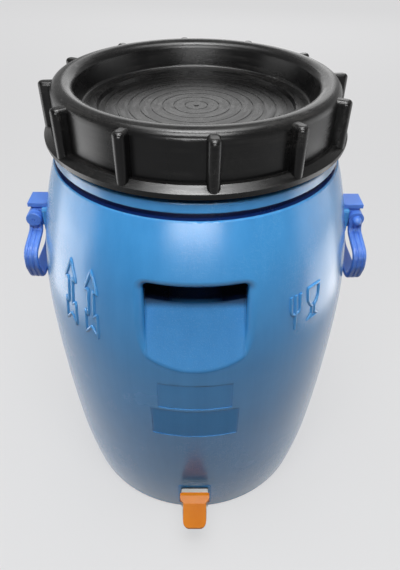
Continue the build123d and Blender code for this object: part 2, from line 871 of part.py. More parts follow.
# Lever: bridge over the lugs, paddle to the front, ears on the pivot, cheeks on the stem's pin
lever_top = lug_ring_r + lever_over_lug + lever_t
lever_line = [
    (-lever_back, lever_top),
    (lever_flat, lever_top),
    (lever_dip_at, lever_dip_z),
    (lever_reach, -lever_tip_drop),
]
stem_at = pivot_y - valve_y
ear_in = chamber_half + ear_gap
ear_out = ear_in + ear_t


def lever_point(ahead, above):
    return (pivot_y - ahead, pivot_z + above)


def paddle_z(ahead):
    (a, high), (b, low) = lever_line[1:3] if ahead < lever_dip_at else lever_line[2:4]
    return high + (low - high) * (ahead - a) / (b - a)


with BuildPart() as tap_lever:
    with BuildSketch(Plane.YZ) as side_view:
        with BuildLine():
            upper = [lever_point(a, h) for a, h in lever_line]
            lower = [lever_point(a, h - lever_t) for a, h in lever_line]
            Polyline(*upper, *reversed(lower), close=True)
        make_face()
        bend_y = [pivot_y - lever_flat, pivot_y - lever_dip_at]
        bends = [v for v in side_view.vertices() if min(abs(v.X - y) for y in bend_y) < 0.01]
        fillet(bends, lever_bend_r)
    extrude(amount=ear_out, both=True)
    with BuildSketch(Plane.XY.offset(pivot_z - lever_reach)) as plan:
        with BuildLine():
            half_plan = [
                (ear_out, pivot_y + lever_back),
                (ear_out, pivot_y - lever_shoulder_at),
                (lever_half, pivot_y - lever_waist_at),
                (lever_half, pivot_y - lever_reach),
            ]
            Polyline(*half_plan, *[(-x, y) for x, y in reversed(half_plan)], close=True)
        make_face()
        fillet(plan.vertices().group_by(Axis.Y)[0], lever_tip_r)
        fillet(plan.vertices().group_by(Axis.Y)[-1], lever_rear_r)
        shoulder = [v for v in plan.vertices() if abs(v.Y - pivot_y + lever_shoulder_at) < 0.01]
        fillet(shoulder, lever_bend_r)
    extrude(amount=2 * lever_reach, mode=Mode.INTERSECT)
    for side in (1, -1):
        with BuildSketch(Plane.YZ.offset(side * ear_in)):
            with Locations((pivot_y, pivot_z)):
                Circle(ear_r)
            with BuildLine():
                Polyline(
                    lever_point(-lever_back, 0),
                    lever_point(lever_rear_r - lever_back, lever_top - lever_t / 2),
                    lever_point(lever_flat, lever_top - lever_t / 2),
                    lever_point(ear_r, 0),
                    close=True,
                )
            make_face()
        extrude(amount=side * ear_t)
        with BuildSketch(Plane.YZ.offset(side * cheek_in)):
            with BuildLine():
                near = stem_at - cheek_half
                far = stem_at + cheek_half
                Polyline(
                    lever_point(near, -cheek_low),
                    lever_point(near, paddle_z(near) - lever_t / 2),
                    lever_point(lever_dip_at, lever_dip_z - lever_t / 2),
                    lever_point(far, paddle_z(far) - lever_t / 2),
                    lever_point(far, -cheek_low),
                    close=True,
                )
            make_face()
        extrude(amount=side * cheek_t)
    with BuildSketch(Plane.YZ):
        with Locations((pivot_y, pivot_z)):
            Circle(pivot_r + pivot_run)
    extrude(amount=flange_side, both=True, mode=Mode.SUBTRACT)
    slot_h = 2 * (cross_pin_r + slot_gap)
    with BuildSketch(Plane.YZ):
        with Locations((valve_y, tap_z + cross_pin_z)):
            SlotOverall(slot_h + slot_slide, slot_h)
    extrude(amount=cheek_in + cheek_t, both=True, mode=Mode.SUBTRACT)
save(tap_lever, "tap_lever")

with BuildPart() as lever_pivot_pin:
    with BuildSketch(Plane.YZ):
        with Locations((pivot_y, pivot_z)):
            Circle(pivot_r)
    extrude(amount=ear_out, both=True)
save(lever_pivot_pin, "lever_pivot_pin")
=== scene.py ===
import json
import math
import bpy
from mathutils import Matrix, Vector


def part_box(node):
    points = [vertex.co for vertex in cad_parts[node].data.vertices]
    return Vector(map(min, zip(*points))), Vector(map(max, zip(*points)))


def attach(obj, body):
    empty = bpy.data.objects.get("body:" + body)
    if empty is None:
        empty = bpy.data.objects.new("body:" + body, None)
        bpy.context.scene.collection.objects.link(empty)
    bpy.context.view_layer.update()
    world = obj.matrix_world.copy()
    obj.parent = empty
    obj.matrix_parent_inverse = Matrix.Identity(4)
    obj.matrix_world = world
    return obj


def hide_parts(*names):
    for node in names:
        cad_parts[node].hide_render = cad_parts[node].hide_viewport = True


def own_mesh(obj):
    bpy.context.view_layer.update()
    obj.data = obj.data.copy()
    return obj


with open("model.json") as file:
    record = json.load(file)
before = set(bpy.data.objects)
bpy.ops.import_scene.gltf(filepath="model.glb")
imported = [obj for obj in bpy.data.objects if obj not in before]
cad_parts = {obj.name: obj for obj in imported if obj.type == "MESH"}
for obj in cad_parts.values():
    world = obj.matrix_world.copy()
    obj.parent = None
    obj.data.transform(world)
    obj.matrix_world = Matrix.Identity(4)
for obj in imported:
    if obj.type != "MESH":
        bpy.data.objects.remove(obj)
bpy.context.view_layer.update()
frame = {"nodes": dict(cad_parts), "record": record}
nodes = frame["nodes"]
print("frame loaded,", len(nodes), "nodes")


def tone(red, green, blue):  # screen colour 0-255 to the linear colour a socket takes
    linear = []
    for part in (red, green, blue):
        value = part / 255
        linear.append(value / 12.92 if value <= 0.04045 else ((value + 0.055) / 1.055) ** 2.4)
    return (linear[0], linear[1], linear[2], 1.0)


def deselectAll():
    if bpy.context.mode != "OBJECT":
        bpy.ops.object.mode_set(mode="OBJECT")
    bpy.ops.object.select_all(action="DESELECT")


def mathNode(tree, operation, first, second=None):
    node = tree.nodes.new("ShaderNodeMath")
    node.operation = operation
    for place, value in ((0, first), (1, second)):
        if value is None:
            continue
        if isinstance(value, (int, float)):
            node.inputs[place].default_value = value
        else:
            tree.links.new(value, node.inputs[place])
    return node.outputs[0]


def multiply(tree, first, *others):
    total = first
    for other in others:
        total = mathNode(tree, "MULTIPLY", total, other)
    return total


def rangeNode(tree, value, low, high, newLow, newHigh):
    node = tree.nodes.new("ShaderNodeMapRange")
    node.inputs["From Min"].default_value = low
    node.inputs["From Max"].default_value = high
    node.inputs["To Min"].default_value = newLow
    node.inputs["To Max"].default_value = newHigh
    tree.links.new(value, node.inputs["Value"])
    return node.outputs["Result"]


def fade(tree, value, start, end, most=1.0):  # 0 at the start, most at the end
    return rangeNode(tree, value, start, end, 0.0, most)


def mixTone(tree, share, first, second):
    node = tree.nodes.new("ShaderNodeMix")
    node.data_type = "RGBA"
    for place, value in (("A", first), ("B", second)):
        socket = [s for s in node.inputs if s.name == place and s.type == "RGBA"][0]
        if isinstance(value, tuple):
            socket.default_value = value
        else:
            tree.links.new(value, socket)
    tree.links.new(share, node.inputs["Factor"])
    return [s for s in node.outputs if s.type == "RGBA"][0]


def splitAxes(tree, vector):
    node = tree.nodes.new("ShaderNodeSeparateXYZ")
    tree.links.new(vector, node.inputs[0])
    return node.outputs["X"], node.outputs["Y"], node.outputs["Z"]


def fromAxis(tree, across, along):  # distance from the drum's axis
    squares = mathNode(tree, "ADD", multiply(tree, across, across), multiply(tree, along, along))
    return mathNode(tree, "SQRT", squares)


# camera where the photograph was taken from, looking down on the drum
cameraPlace = {
    "location": (0.0, -0.58645, 0.77771),
    "turn": (50.834, -0.496, -0.228),  # degrees
    "lens": 32.766,
    "shiftUp": 0.0026,
    "nearest": 0.01,
}
bpy.ops.object.camera_add(location=cameraPlace["location"])
camera = bpy.context.object
camera.name = "photoCamera"
camera.rotation_euler = [math.radians(a) for a in cameraPlace["turn"]]
camera.data.lens = cameraPlace["lens"]
camera.data.shift_y = cameraPlace["shiftUp"]
camera.data.clip_start = cameraPlace["nearest"]
bpy.context.scene.camera = camera
bpy.context.scene.view_settings.view_transform = "Standard"
print("camera set")

# studio: pale floor, soft panels, and cards that show only in the gloss
studio = {
    "floorSize": 16.0,
    "floorRough": 0.85,
    "floorTone": tone(238, 238, 238),
    "floorBounce": tone(58, 58, 58),  # what the object gets back from the floor
    "floorSeen": tone(227, 227, 228),
    "floorSeenShare": 0.78,
    "backTone": tone(240, 240, 241),  # floor far behind
    "backReach": (0.4, 3.0),
    "farTone": tone(162, 162, 163),  # floor and sky far in front, painted dark as shade where no lamp reaches
    "farReach": (-0.75, -1.5),
    "skyTone": (1.0, 1.0, 1.0, 1.0),
    "skyLight": 0.025,
    "skySeen": 0.66,
    "skyHigh": 0.36,  # the seen sky falls off above the horizon
    "skyFall": (0.08, 0.3),
    "skyFront": (0.1, -0.3),  # from behind to the front the sky takes on farTone
    "panels": [
        # name, place, aim, width, depth, watts, lights the surface or only shows in its gloss
        ("mainPanel", (0.0, -0.46, 1.02), (0.0, -0.12, 0.45), 0.46, 0.22, 4.7, True),
        ("overheadPanel", (0.0, -0.02, 1.75), (0.0, -0.02, 0.3), 1.1, 0.7, 12.5, True),
        ("leftPanel", (-1.6, 0.1, 0.45), (0.0, 0.0, 0.35), 1.2, 0.9, 8, True),
        ("rightPanel", (1.6, 0.1, 0.5), (0.0, 0.0, 0.35), 1.2, 0.9, 5, True),
        ("backPanel", (0.3, 3.0, 1.5), (0.0, 0.0, 0.5), 2.0, 1.6, 14.5, True),
        ("overheadCard", (0.0, -0.2, 1.7), (0.0, -0.2, 0.3), 0.5, 0.26, 10, False),
        ("frontCard", (-0.05, -3.2, 0.82), (0.0, 0.0, 0.5), 2.0, 0.24, 48, False),
        ("leftCard", (-0.78, 0.01, 0.12), (-0.2, -0.05, 0.65), 0.5, 0.4, 1.6, False),
        ("rightCard", (0.74, 0.02, 0.08), (0.25, -0.04, 0.72), 0.5, 0.4, 1.5, False),
    ],
}


def addPanel(name, place, aim, width, depth, watts, lights):
    bpy.ops.object.light_add(type="AREA", location=place)
    lamp = bpy.context.object
    lamp.name = name
    lamp.data.shape = "RECTANGLE"
    lamp.data.size = width
    lamp.data.size_y = depth
    lamp.data.energy = watts
    lamp.visible_camera = False
    lamp.visible_diffuse = lights
    lamp.rotation_euler = (Vector(aim) - Vector(place)).to_track_quat("-Z", "Y").to_euler()


for panel in studio["panels"]:
    addPanel(*panel)


def seenShare(tree):  # 1 for rays that show a backdrop, 0 for rays that carry its light
    path = tree.nodes.new("ShaderNodeLightPath")
    share = mathNode(tree, "MAXIMUM", path.outputs["Is Camera Ray"], path.outputs["Is Glossy Ray"])
    return mathNode(tree, "MAXIMUM", share, path.outputs["Is Transmission Ray"])


world = bpy.data.worlds.new("studioWorld")
bpy.context.scene.world = world
world.use_nodes = True
tree = world.node_tree
sky = tree.nodes["Background"]
across, along, up = splitAxes(tree, tree.nodes.new("ShaderNodeTexCoord").outputs["Generated"])
skyFront = fade(tree, along, *studio["skyFront"])
# painted shade: the seen sky darkens to farTone towards the front
skyColour = mixTone(tree, skyFront, studio["skyTone"], studio["farTone"])
skySeen = rangeNode(tree, up, *studio["skyFall"], studio["skySeen"], studio["skyHigh"])
skyShare = seenShare(tree)
skyHidden = multiply(tree, mathNode(tree, "SUBTRACT", 1.0, skyShare), studio["skyLight"])
skyStrength = mathNode(tree, "ADD", multiply(tree, skyShare, skySeen), skyHidden)
tree.links.new(skyColour, sky.inputs["Color"])
tree.links.new(skyStrength, sky.inputs["Strength"])

deselectAll()
bpy.ops.mesh.primitive_plane_add(size=studio["floorSize"])
floor = bpy.context.object
floor.name = "studioFloor"
floorPaper = bpy.data.materials.new("floorPaper")
floorPaper.use_nodes = True
tree = floorPaper.node_tree
paper = tree.nodes["Principled BSDF"]
paper.inputs["Roughness"].default_value = studio["floorRough"]
paperSeen = tree.nodes.new("ShaderNodeEmission")
across, along, up = splitAxes(tree, tree.nodes.new("ShaderNodeTexCoord").outputs["Object"])
paperTone = mixTone(tree, fade(tree, along, *studio["backReach"]), studio["floorSeen"], studio["backTone"])
# painted shade: the seen floor darkens to farTone towards the front
paperTone = mixTone(tree, fade(tree, along, *studio["farReach"]), paperTone, studio["farTone"])
tree.links.new(paperTone, paperSeen.inputs["Color"])
seen = seenShare(tree)
paperColour = mixTone(tree, seen, studio["floorBounce"], studio["floorTone"])
tree.links.new(paperColour, paper.inputs["Base Color"])
paperMix = tree.nodes.new("ShaderNodeMixShader")
tree.links.new(multiply(tree, seen, studio["floorSeenShare"]), paperMix.inputs["Fac"])
tree.links.new(paper.outputs["BSDF"], paperMix.inputs[1])
tree.links.new(paperSeen.outputs["Emission"], paperMix.inputs[2])
tree.links.new(paperMix.outputs["Shader"], tree.nodes["Material Output"].inputs["Surface"])
floor.data.materials.append(floorPaper)
print("studio set")


# shared effects, one group each
def newGroup(name, inputs, outputs):
    group = bpy.data.node_groups.new(name, "ShaderNodeTree")
    for label, kind, start in inputs:
        socket = group.interface.new_socket(name=label, in_out="INPUT", socket_type=kind)
        if start is not None:
            socket.default_value = start
    for label, kind in outputs:
        group.interface.new_socket(name=label, in_out="OUTPUT", socket_type=kind)
    groupIn = group.nodes.new("NodeGroupInput")
    groupOut = group.nodes.new("NodeGroupOutput")
    return group, groupIn.outputs, groupOut.inputs


def noiseNode(tree, vector, scale, detail, rough, stretch=None, turn=None):
    if stretch or turn:
        mapping = tree.nodes.new("ShaderNodeMapping")
        if stretch:
            mapping.inputs["Scale"].default_value = stretch
        if turn:
            mapping.inputs["Rotation"].default_value = [math.radians(a) for a in turn]
        tree.links.new(vector, mapping.inputs["Vector"])
        vector = mapping.outputs["Vector"]
    noise = tree.nodes.new("ShaderNodeTexNoise")
    noise.inputs["Detail"].default_value = detail
    noise.inputs["Roughness"].default_value = rough
    if isinstance(scale, (int, float)):
        noise.inputs["Scale"].default_value = scale
    else:
        tree.links.new(scale, noise.inputs["Scale"])
    tree.links.new(vector, noise.inputs["Vector"])
    return noise.outputs["Fac"]


noiseReach = (0.3, 0.7)  # where most of a noise's values lie

# moulded skin: broad mottle, fine pebble
skinLook = {"mottle": (4.0, 0.55), "pebble": (2.0, 0.6)}  # detail and roughness of the noise
mouldedSkin, skinIn, skinOut = newGroup(
    "mouldedSkin",
    [("Vector", "NodeSocketVector", None), ("Mottle Scale", "NodeSocketFloat", 8.0),
     ("Pebble Scale", "NodeSocketFloat", 700.0)],
    [("Mottle", "NodeSocketFloat"), ("Pebble", "NodeSocketFloat")],
)
skinMottle = noiseNode(mouldedSkin, skinIn["Vector"], skinIn["Mottle Scale"], *skinLook["mottle"])
skinPebble = noiseNode(mouldedSkin, skinIn["Vector"], skinIn["Pebble Scale"], *skinLook["pebble"])
mouldedSkin.links.new(skinMottle, skinOut["Mottle"])
mouldedSkin.links.new(skinPebble, skinOut["Pebble"])

# handling scratches: thin streaks in three directions, only in patches
scratchLook = {
    "streaks": [
        # stretch of the noise, then its turn in degrees
        ((1, 1, 14), (12, 0, 0)),
        ((16, 1, 1), (0, 20, 35)),
        ((1, 18, 2), (25, 40, 0)),
    ],
    "width": 0.012,
    "patchScale": 9.0,
    "patchReach": (0.5, 0.68),
}
handScratch, scratchIn, scratchOut = newGroup(
    "handScratch",
    [("Vector", "NodeSocketVector", None), ("Scale", "NodeSocketFloat", 60.0)],
    [("Mask", "NodeSocketFloat")],
)
scratchLines = None
for stretch, turn in scratchLook["streaks"]:
    streak = noiseNode(handScratch, scratchIn["Vector"], scratchIn["Scale"], 3.0, 0.6, stretch, turn)
    middle = mathNode(handScratch, "ABSOLUTE", mathNode(handScratch, "SUBTRACT", streak, 0.5))
    thin = fade(handScratch, middle, scratchLook["width"], 0.0)
    scratchLines = thin if scratchLines is None else mathNode(handScratch, "MAXIMUM", scratchLines, thin)
scratchPatch = noiseNode(handScratch, scratchIn["Vector"], scratchLook["patchScale"], 2.0, 0.5)
scratchPatch = fade(handScratch, scratchPatch, *scratchLook["patchReach"])
handScratch.links.new(multiply(handScratch, scratchLines, scratchPatch), scratchOut["Mask"])

# dust that lies on faces that look up
dustLook = {"facing": (0.2, 0.95), "fleckScale": 260.0, "fleckReach": (0.5, 0.75), "between": 0.15}
restingDust, dustIn, dustOut = newGroup(
    "restingDust",
    [("Vector", "NodeSocketVector", None), ("Amount", "NodeSocketFloat", 0.2)],
    [("Mask", "NodeSocketFloat")],
)
dustGeometry = restingDust.nodes.new("ShaderNodeNewGeometry")
across, along, up = splitAxes(restingDust, dustGeometry.outputs["Normal"])
dustUp = fade(restingDust, up, *dustLook["facing"])
dustFleck = noiseNode(restingDust, dustIn["Vector"], dustLook["fleckScale"], 3.0, 0.7)
dustFleck = rangeNode(restingDust, dustFleck, *dustLook["fleckReach"], dustLook["between"], 1.0)
restingDust.links.new(multiply(restingDust, dustUp, dustFleck, dustIn["Amount"]), dustOut["Mask"])
print("shared effects made")


def newMaterial(name):
    material = bpy.data.materials.new(name)
    material.use_nodes = True
    tree = material.node_tree
    shader = tree.nodes["Principled BSDF"]
    place = tree.nodes.new("ShaderNodeTexCoord").outputs["Object"]
    return material, tree, shader, place


def useGroup(tree, group, place, values):
    node = tree.nodes.new("ShaderNodeGroup")
    node.node_tree = group
    tree.links.new(place, node.inputs["Vector"])
    for label, value in values.items():
        node.inputs[label].default_value = value
    return node.outputs


def useEffects(tree, place, look):  # skin, scratches and dust at this look's own scales
    skin = useGroup(tree, mouldedSkin, place, {"Mottle Scale": look["mottle"], "Pebble Scale": look["pebble"]})
    scratch = useGroup(tree, handScratch, place, {"Scale": look["scratch"]})
    dust = useGroup(tree, restingDust, place, {"Amount": look["dustAmount"]})
    return skin, scratch["Mask"], dust["Mask"]


def bumpFrom(tree, height, strength, distance, before=None):
    node = tree.nodes.new("ShaderNodeBump")
    node.inputs["Strength"].default_value = strength
    node.inputs["Distance"].default_value = distance
    tree.links.new(height, node.inputs["Height"])
    if before is not None:
        tree.links.new(before, node.inputs["Normal"])
    return node.outputs["Normal"]


def roughen(tree, roughness, mask, amount):
    return mathNode(tree, "ADD", roughness, multiply(tree, mask, amount))


drumLook = {
    "deep": tone(52, 138, 204),
    "light": tone(72, 158, 224),
    "scuff": tone(140, 178, 214),
    "scuffShare": 0.22,
    "dust": tone(190, 200, 210),
    "dustAmount": 0.16,
    "mottle": 7.0,
    "pebble": 520.0,
    "scratch": 34.0,
    "streak": 70.0,
    "streakStretch": (1.0, 1.0, 0.03),
    "mottleShare": 0.7,
    "streakShare": 0.3,
    "rough": (0.19, 0.28),
    "scratchRough": 0.12,
    "gloss": 0.42,
    "coat": 0.8,
    "coatRough": 0.25,
    "coatIor": 1.2,
    "pebbleBump": (0.3, 0.0004),  # strength, depth in metres
    "streakBump": (0.10, 0.0006),
}
# grain on the hand-hold's ramp and the two panels below it; its darker colour is the grain's own tone on the
# panels and partly painted shade on the recessed ramp
grainLook = {
    "fields": [
        # half width, low and high edge in metres, share of the grain
        (0.057, 0.330, 0.425, 1.0),  # ramp of the hand-hold
        (0.044, 0.272, 0.316, 0.3),  # upper panel
        (0.0535, 0.216, 0.268, 0.6),  # lower panel
    ],
    "front": (-0.12, -0.13),
    "rampSlope": 0.508,
    "rampStart": -0.3724,  # the ramp is where y is this plus the slope times z
    "rampNear": (0.002, 0.001),
    "rampFoot": (0.325, 0.322),
    "edge": 0.003,
    "scale": 760.0,
    "bump": (0.3, 0.0005),
    "rough": 0.6,
    "speck": tone(150, 196, 236),
    "speckReach": (0.58, 0.75),
    "speckShare": 0.16,
    "shade": tone(20, 96, 164),
    "shadeShare": 0.25,
}
# painted shade: the inside of the hand-hold's slot is darkened in the colour, from the mouth inwards
slotShadeLook = {
    "mouth": (-0.172, -0.160),
    "deepEnd": (-0.11, -0.12),
    "side": (0.058, 0.057),
    "low": (0.405, 0.411),
    "high": (0.4465, 0.4455),
    "paintedShade": tone(8, 24, 52),
}
# painted shade in the groove under the collar
grooveShadeLook = {
    "low": (0.5136, 0.5144),
    "high": (0.5214, 0.5212),
    "outside": (0.1658, 0.1650),
    "paintedShade": tone(16, 40, 96),
}
drumPlastic, tree, shader, place = newMaterial("drumPlastic")
shader.inputs["Specular IOR Level"].default_value = drumLook["gloss"]
shader.inputs["Coat Roughness"].default_value = drumLook["coatRough"]
shader.inputs["Coat IOR"].default_value = drumLook["coatIor"]
across, along, up = splitAxes(tree, place)
sideways = mathNode(tree, "ABSOLUTE", across)
skin, scratch, dust = useEffects(tree, place, drumLook)
streaks = noiseNode(tree, place, drumLook["streak"], 3.0, 0.6, drumLook["streakStretch"])  # drawn down the wall
mottle = multiply(tree, skin["Mottle"], drumLook["mottleShare"])
mottle = mathNode(tree, "ADD", mottle, multiply(tree, streaks, drumLook["streakShare"]))
colour = mixTone(tree, fade(tree, mottle, *noiseReach), drumLook["deep"], drumLook["light"])
colour = mixTone(tree, multiply(tree, scratch, drumLook["scuffShare"]), colour, drumLook["scuff"])
colour = mixTone(tree, dust, colour, drumLook["dust"])

grainFront = fade(tree, along, *grainLook["front"])
grainEdge = grainLook["edge"]
grainField = None
for half, low, high, share in grainLook["fields"]:
    field = multiply(
        tree, grainFront,
        fade(tree, sideways, half, half - grainEdge),
        fade(tree, up, low, low + grainEdge),
        fade(tree, up, high, high - grainEdge, share),
    )
    grainField = field if grainField is None else mathNode(tree, "MAXIMUM", grainField, field)
rampAway = mathNode(tree, "SUBTRACT", along, multiply(tree, up, grainLook["rampSlope"]))
rampAway = mathNode(tree, "ABSOLUTE", mathNode(tree, "SUBTRACT", rampAway, grainLook["rampStart"]))
onRamp = fade(tree, rampAway, *grainLook["rampNear"])
belowRamp = fade(tree, up, *grainLook["rampFoot"])
grainField = multiply(tree, grainField, mathNode(tree, "MAXIMUM", onRamp, belowRamp))
grain = noiseNode(tree, place, grainLook["scale"], 1.0, 0.5)
# pale specks in the grain are a painted glint, the sparkle of the textured face
speck = multiply(tree, fade(tree, grain, *grainLook["speckReach"], grainLook["speckShare"]), grainField)
# darker grain colour: the grain's own tone, and on the ramp also painted shade of the recess
colour = mixTone(tree, multiply(tree, grainField, grainLook["shadeShare"]), colour, grainLook["shade"])
colour = mixTone(tree, speck, colour, grainLook["speck"])

# painted shade inside the slot, where the lip keeps the light out
slot = multiply(
    tree,
    fade(tree, along, *slotShadeLook["mouth"]),
    fade(tree, along, *slotShadeLook["deepEnd"]),
    fade(tree, sideways, *slotShadeLook["side"]),
    fade(tree, up, *slotShadeLook["low"]),
    fade(tree, up, *slotShadeLook["high"]),
)
colour = mixTone(tree, slot, colour, slotShadeLook["paintedShade"])
# painted shade in the groove, where the collar shades it
groove = multiply(
    tree,
    fade(tree, up, *grooveShadeLook["low"]),
    fade(tree, up, *grooveShadeLook["high"]),
    fade(tree, fromAxis(tree, across, along), *grooveShadeLook["outside"]),
)
colour = mixTone(tree, groove, colour, grooveShadeLook["paintedShade"])
tree.links.new(colour, shader.inputs["Base Color"])

roughness = rangeNode(tree, skin["Mottle"], *noiseReach, *drumLook["rough"])
roughness = roughen(tree, roughness, scratch, drumLook["scratchRough"])
roughness = roughen(tree, roughness, grainField, grainLook["rough"])
tree.links.new(roughness, shader.inputs["Roughness"])
coat = multiply(tree, mathNode(tree, "SUBTRACT", 1.0, grainField), drumLook["coat"])
tree.links.new(coat, shader.inputs["Coat Weight"])  # the grain is dull
normal = bumpFrom(tree, skin["Pebble"], *drumLook["pebbleBump"])
normal = bumpFrom(tree, streaks, *drumLook["streakBump"], normal)
normal = bumpFrom(tree, multiply(tree, grain, grainField), *grainLook["bump"], normal)
tree.links.new(normal, shader.inputs["Normal"])

lidLook = {
    "deep": tone(6, 6, 7),
    "light": tone(12, 12, 12),
    "scuff": tone(92, 90, 88),
    "scuffShare": 0.25,
    "dust": tone(150, 147, 143),
    "dustAmount": 0.03,
    "mottle": 12.0,
    "pebble": 620.0,
    "scratch": 44.0,
    "flowTurns": 2.0,  # flow waves round the gate
    "flowRings": 130.0,
    "flowScale": 1.6,
    "wipeTurn": 4.0,  # wiped streaks that run round
    "wipeRings": 220.0,
    "wipeRise": 160.0,
    "wipeReach": (0.5, 0.8),
    "wipePatch": 14.0,
    "wipePatchReach": (0.45, 0.7),
    "wipeShare": 0.3,
    "rough": (0.21, 0.34),
    "wipeRough": 0.18,
    "scratchRough": 0.1,
    "gloss": 0.32,
    "pebbleBump": (0.10, 0.0003),
    "flowBump": (0.08, 0.0006),
}
lidPlastic, tree, shader, place = newMaterial("lidPlastic")
shader.inputs["Specular IOR Level"].default_value = lidLook["gloss"]
skin, scratch, dust = useEffects(tree, place, lidLook)
across, along, up = splitAxes(tree, place)
bearing = mathNode(tree, "ARCTAN2", along, across)
away = fromAxis(tree, across, along)
flowPlace = tree.nodes.new("ShaderNodeCombineXYZ")
flowTurn = mathNode(tree, "SINE", multiply(tree, bearing, lidLook["flowTurns"]))
tree.links.new(flowTurn, flowPlace.inputs["X"])
tree.links.new(multiply(tree, away, lidLook["flowRings"]), flowPlace.inputs["Y"])
flow = noiseNode(tree, flowPlace.outputs[0], lidLook["flowScale"], 3.0, 0.55)
wipePlace = tree.nodes.new("ShaderNodeCombineXYZ")
wipeTurn = multiply(tree, mathNode(tree, "SINE", bearing), lidLook["wipeTurn"])
tree.links.new(wipeTurn, wipePlace.inputs["X"])
tree.links.new(multiply(tree, away, lidLook["wipeRings"]), wipePlace.inputs["Y"])
tree.links.new(multiply(tree, up, lidLook["wipeRise"]), wipePlace.inputs["Z"])
wipe = fade(tree, noiseNode(tree, wipePlace.outputs[0], 1.0, 4.0, 0.65), *lidLook["wipeReach"])
wipePatch = noiseNode(tree, place, lidLook["wipePatch"], 3.0, 0.6)
wipe = multiply(tree, wipe, fade(tree, wipePatch, *lidLook["wipePatchReach"]))
colour = mixTone(tree, fade(tree, skin["Mottle"], *noiseReach), lidLook["deep"], lidLook["light"])
colour = mixTone(tree, multiply(tree, scratch, lidLook["scuffShare"]), colour, lidLook["scuff"])
colour = mixTone(tree, multiply(tree, wipe, lidLook["wipeShare"]), colour, lidLook["scuff"])
colour = mixTone(tree, dust, colour, lidLook["dust"])
tree.links.new(colour, shader.inputs["Base Color"])
roughness = rangeNode(tree, flow, *noiseReach, *lidLook["rough"])
roughness = roughen(tree, roughness, wipe, lidLook["wipeRough"])
roughness = roughen(tree, roughness, scratch, lidLook["scratchRough"])
tree.links.new(roughness, shader.inputs["Roughness"])
normal = bumpFrom(tree, skin["Pebble"], *lidLook["pebbleBump"])
normal = bumpFrom(tree, flow, *lidLook["flowBump"], normal)
tree.links.new(normal, shader.inputs["Normal"])
print("drum and lid materials made")

# plain moulded pieces share one recipe, each slot with its own values
mouldedDust = tone(200, 198, 194)
mouldedRub = {"share": 0.25, "rough": 0.1}
mouldedDepth = 0.0003
mouldedLooks = {
    "handle_plastic": {
        "name": "handlePlastic", "gloss": 0.5,
        "deep": tone(63, 108, 200), "light": tone(90, 140, 226), "rub": tone(150, 176, 236),
        "rough": (0.28, 0.40), "mottle": 16.0, "pebble": 800.0, "bump": 0.10,
        "dustAmount": 0.08, "scratch": 60.0,
    },
    "tap_plastic": {
        "name": "tapPlastic", "gloss": 0.5,
        "deep": tone(214, 210, 202), "light": tone(232, 229, 222), "rub": tone(190, 184, 174),
        "rough": (0.30, 0.44), "mottle": 26.0, "pebble": 1100.0, "bump": 0.08,
        "dustAmount": 0.06, "scratch": 80.0,
    },
    "lever_plastic": {
        "name": "leverPlastic", "gloss": 0.2,
        "deep": tone(232, 126, 0), "light": tone(244, 144, 4), "rub": tone(248, 168, 50),
        "rough": (0.34, 0.44), "mottle": 30.0, "pebble": 1100.0, "bump": 0.08,
        "dustAmount": 0.02, "scratch": 90.0,
    },
    "seal_rubber": {
        "name": "sealRubber", "gloss": 0.5,
        "deep": tone(22, 22, 23), "light": tone(40, 39, 38), "rub": tone(70, 68, 66),
        "rough": (0.6, 0.8), "mottle": 40.0, "pebble": 1500.0, "bump": 0.2,
        "dustAmount": 0.05, "scratch": 120.0,
    },
}
finishes = {"drum_plastic": drumPlastic, "lid_plastic": lidPlastic}
for slotName, look in mouldedLooks.items():
    finishes[slotName], tree, shader, place = newMaterial(look["name"])
    shader.inputs["Specular IOR Level"].default_value = look["gloss"]
    skin, scratch, dust = useEffects(tree, place, look)
    colour = mixTone(tree, fade(tree, skin["Mottle"], *noiseReach), look["deep"], look["light"])
    colour = mixTone(tree, multiply(tree, scratch, mouldedRub["share"]), colour, look["rub"])
    colour = mixTone(tree, dust, colour, mouldedDust)
    tree.links.new(colour, shader.inputs["Base Color"])
    roughness = rangeNode(tree, skin["Mottle"], *noiseReach, *look["rough"])
    roughness = roughen(tree, roughness, scratch, mouldedRub["rough"])
    tree.links.new(roughness, shader.inputs["Roughness"])
    tree.links.new(bumpFrom(tree, skin["Pebble"], look["bump"], mouldedDepth), shader.inputs["Normal"])

steelLook = {
    "bright": tone(190, 190, 188),
    "dull": tone(140, 140, 138),
    "rough": (0.22, 0.40),
    "scratchRough": 0.15,
    "mottle": 60.0,
    "pebble": 2400.0,
    "scratch": 160.0,
    "bump": (0.06, 0.0002),
}
pinSteel, tree, shader, place = newMaterial("pinSteel")
shader.inputs["Metallic"].default_value = 1.0
steelScales = {"Mottle Scale": steelLook["mottle"], "Pebble Scale": steelLook["pebble"]}
skin = useGroup(tree, mouldedSkin, place, steelScales)
scratch = useGroup(tree, handScratch, place, {"Scale": steelLook["scratch"]})["Mask"]
colour = mixTone(tree, fade(tree, skin["Mottle"], *noiseReach), steelLook["dull"], steelLook["bright"])
tree.links.new(colour, shader.inputs["Base Color"])
roughness = rangeNode(tree, skin["Mottle"], *noiseReach, *steelLook["rough"])
roughness = roughen(tree, roughness, scratch, steelLook["scratchRough"])
tree.links.new(roughness, shader.inputs["Roughness"])
tree.links.new(bumpFrom(tree, skin["Pebble"], *steelLook["bump"]), shader.inputs["Normal"])
finishes["steel"] = pinSteel

nodeFinish = {part["node"]: part["material_slot"] for part in frame["record"]["subparts"]}
for nodeName, node in nodes.items():
    node.data.materials.clear()
    node.data.materials.append(finishes[nodeFinish[nodeName]])
    print("finish", nodeName, nodeFinish[nodeName], len(node.data.polygons))
